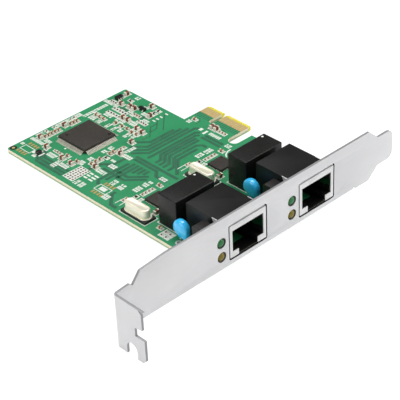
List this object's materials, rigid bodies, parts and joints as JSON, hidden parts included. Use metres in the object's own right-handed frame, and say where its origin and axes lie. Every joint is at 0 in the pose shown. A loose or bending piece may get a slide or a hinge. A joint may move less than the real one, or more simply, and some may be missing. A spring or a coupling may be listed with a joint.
{
  "type": "network interface card",
  "caption": "Two-port network interface card for a one-lane expansion slot, with a full-height slot bracket, jacks, transformer modules and chips on a green board.",
  "frame": {"origin": "component face of the board, at the tip of the card edge, on the middle of its key notch", "axes": "+X towards the slot bracket, +Y out through the card edge into its socket, +Z out of the component face"},
  "size_m": [0.1115, 0.12, 0.0226],
  "materials": {
    "laminate": "green solder mask over glass-epoxy laminate, white print, satin",
    "gold_plate": "gold-plated copper, satin",
    "bracket_steel": "zinc-plated sheet, satin",
    "screw_steel": "zinc-plated steel",
    "jack_moulding": "black moulded plastic, fine grain",
    "shield_tin": "tin-plated sheet, semi-bright",
    "contact_wire": "gold-plated spring wire",
    "module_epoxy": "black moulded epoxy, satin",
    "holder_moulding": "black moulded plastic",
    "green_lens": "diffused green resin",
    "yellow_lens": "diffused yellow resin",
    "disc_coating": "light blue dipped coating, glossy",
    "lead_tin": "tinned copper alloy",
    "solder": "solder, semi-bright",
    "chip_epoxy": "dark grey moulded epoxy, fine grain",
    "base_moulding": "black moulded plastic",
    "can_steel": "nickel-plated steel can, satin",
    "ceramic": "brown ceramic with tinned ends",
    "resistor_glaze": "black glaze over white ceramic with tinned ends"
  },
  "bodies": {
    "root": {"circuit_board": "laminate", "edge_contacts_top": "gold_plate", "edge_contacts_bottom": "gold_plate", "bracket": "bracket_steel", "bracket_screws": "screw_steel", "jack_housing_1": "jack_moulding", "jack_housing_2": "jack_moulding", "jack_shield_1": "shield_tin", "jack_shield_2": "shield_tin", "jack_contacts_1": "contact_wire", "jack_contacts_2": "contact_wire", "transformer_module_1": "module_epoxy", "transformer_module_2": "module_epoxy", "light_holder_1": "holder_moulding", "light_holder_2": "holder_moulding", "light_green_1": "green_lens", "light_green_2": "green_lens", "light_yellow_1": "yellow_lens", "light_yellow_2": "yellow_lens", "disc_capacitor_1": "disc_coating", "disc_capacitor_2": "disc_coating", "disc_leads": "lead_tin", "solder_joints": "solder", "controller_chip_1": "chip_epoxy", "controller_chip_2": "chip_epoxy", "crystal_base_1": "base_moulding", "crystal_base_2": "base_moulding", "crystal_can_1": "can_steel", "crystal_can_2": "can_steel", "bridge_chip_body": "chip_epoxy", "bridge_chip_leads": "lead_tin", "regulator_body": "chip_epoxy", "regulator_leads": "lead_tin", "transistor_body": "chip_epoxy", "transistor_leads": "lead_tin", "diode_body": "chip_epoxy", "diode_tabs": "lead_tin", "large_capacitors": "ceramic", "middle_capacitors": "ceramic", "small_capacitors": "ceramic", "middle_resistors": "resistor_glaze", "small_resistors": "resistor_glaze"}
  },
  "joints": []
}
